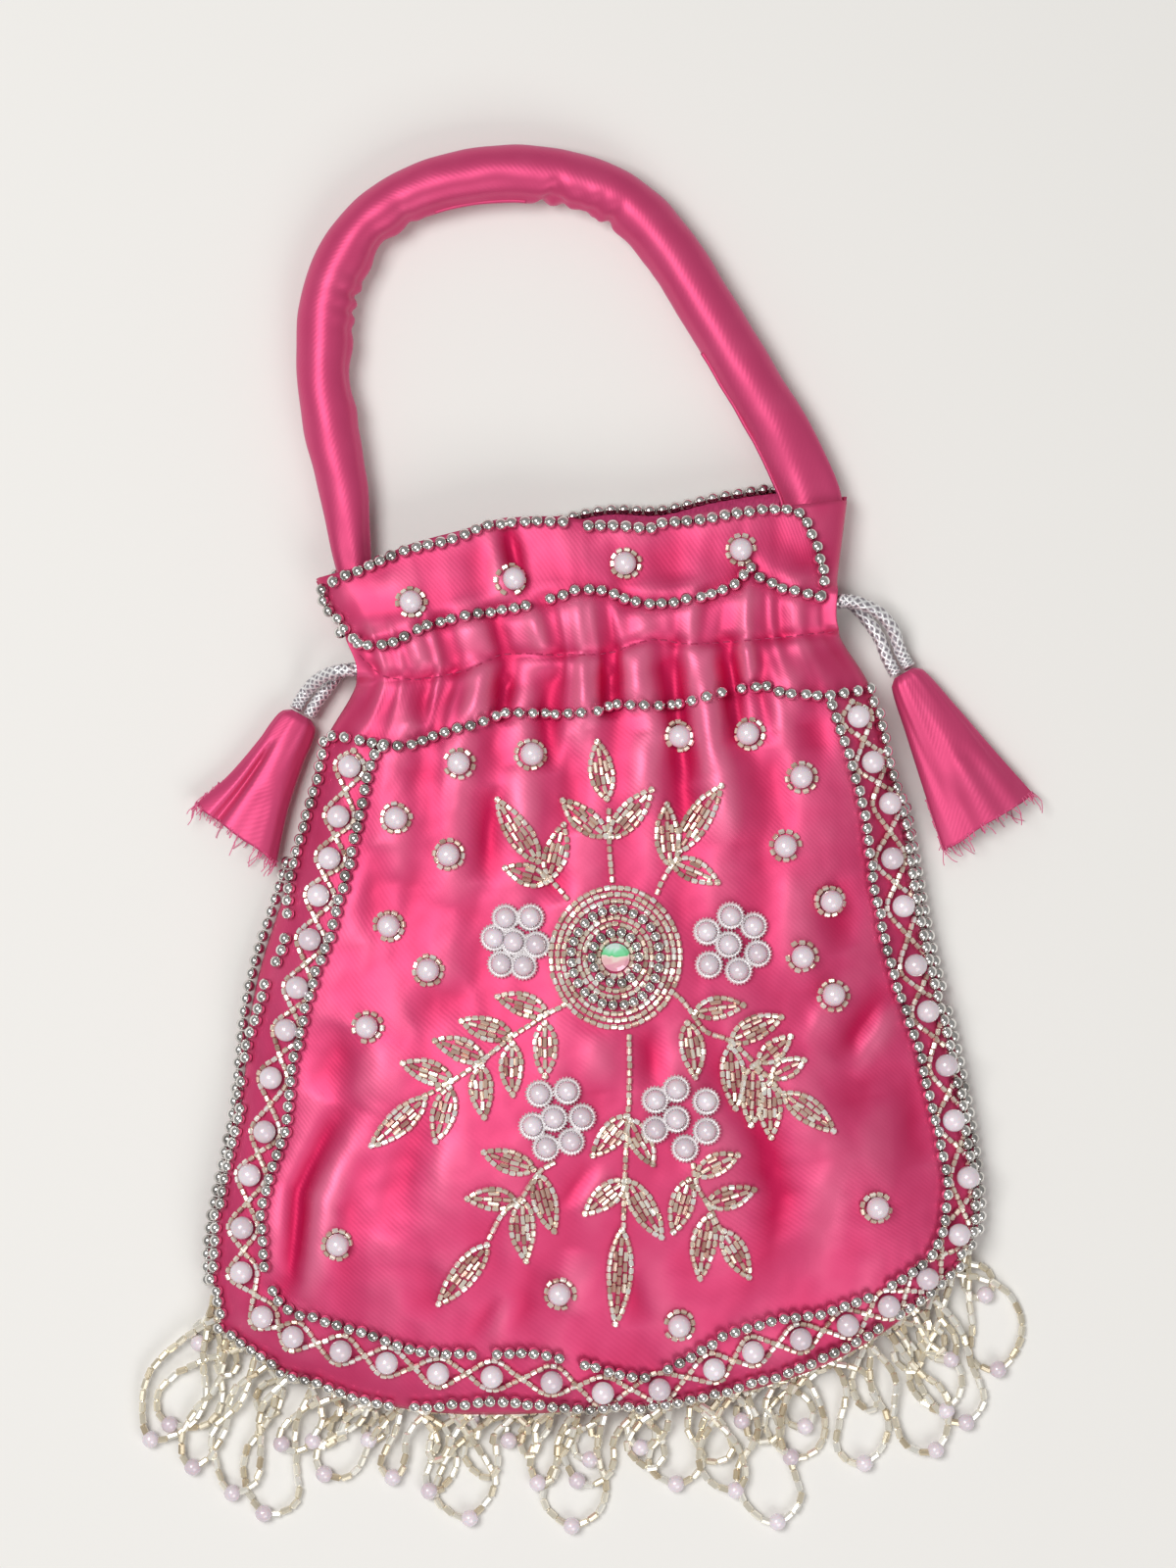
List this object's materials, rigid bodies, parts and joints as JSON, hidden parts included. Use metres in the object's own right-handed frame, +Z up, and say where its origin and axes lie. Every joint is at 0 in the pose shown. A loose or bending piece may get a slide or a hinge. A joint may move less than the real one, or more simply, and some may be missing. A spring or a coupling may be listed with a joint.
{
  "type": "potli bag",
  "caption": "Flat-lying satin drawstring pouch with a gathered neck, padded loop handle, tassel-ended cords, bead embroidery and a bead fringe.",
  "frame": {"origin": "middle of the flat underside of the pouch's back, as the bag lies on its back", "axes": "+Y from the bottom seam towards the handle, +X to the right as the front is looked at, +Z up through the front"},
  "size_m": [0.2271, 0.3586, 0.0302],
  "materials": {
    "pink_satin": "glossy woven satin",
    "lining_cloth": "plain matt lining",
    "wadding": "soft fibre filling",
    "silver_braid": "braided metallic thread",
    "silver_beads": "mirror-bright round beads",
    "cut_glass_beads": "silver-lined cut glass",
    "pearl_beads": "nacre-coated beads",
    "foil_stone": "foil-backed faceted stone"
  },
  "bodies": {
    "bag": {"back_left_beads": "silver_beads", "back_lining": "lining_cloth", "back_panel": "pink_satin", "back_right_beads": "silver_beads", "back_rim_beads": "silver_beads", "bead_fringe": "cut_glass_beads", "border_braid": "pearl_beads", "casing_beads": "silver_beads", "centre_stone": "foil_stone", "flower_left": "pearl_beads", "flower_low_left": "pearl_beads", "flower_low_right": "pearl_beads", "flower_right": "pearl_beads", "front_lining": "lining_cloth", "front_panel": "pink_satin", "front_rim_beads": "silver_beads", "handle_cover": "pink_satin", "handle_filling": "wadding", "inner_edge_beads": "silver_beads", "left_cord_turn": "silver_braid", "medallion": "cut_glass_beads", "outer_edge_beads": "silver_beads", "pearl_01": "pearl_beads", "pearl_02": "pearl_beads", "pearl_03": "pearl_beads", "pearl_04": "pearl_beads", "pearl_05": "pearl_beads", "pearl_06": "pearl_beads", "pearl_07": "pearl_beads", "pearl_08": "pearl_beads", "pearl_09": "pearl_beads", "pearl_10": "pearl_beads", "pearl_11": "pearl_beads", "pearl_12": "pearl_beads", "pearl_13": "pearl_beads", "pearl_14": "pearl_beads", "pearl_15": "pearl_beads", "pearl_16": "pearl_beads", "pearl_17": "pearl_beads", "pearl_18": "pearl_beads", "pearl_19": "pearl_beads", "pearl_20": "pearl_beads", "pearl_21": "pearl_beads", "pearl_22": "pearl_beads", "right_cord_turn": "silver_braid", "spray_bottom": "cut_glass_beads", "spray_left": "cut_glass_beads", "spray_low_left": "cut_glass_beads", "spray_low_right": "cut_glass_beads", "spray_right": "cut_glass_beads", "spray_top": "cut_glass_beads", "spray_top_left": "cut_glass_beads", "spray_top_right": "cut_glass_beads", "yoke_beads": "silver_beads"},
    "left_drawstring": {"left_cord_front": "silver_braid", "left_cord_back": "silver_braid", "left_tassel": "pink_satin"},
    "right_drawstring": {"right_cord_front": "silver_braid", "right_cord_back": "silver_braid", "right_tassel": "pink_satin"}
  },
  "joints": [
    {"name": "left_pull", "type": "slide", "parent": "bag", "child": "left_drawstring", "axis": [-0.9951, -0.0989, 0], "range_m": [0, 0.06]},
    {"name": "right_pull", "type": "slide", "parent": "bag", "child": "right_drawstring", "axis": [0.9951, 0.0989, 0], "range_m": [0, 0.06]}
  ]
}
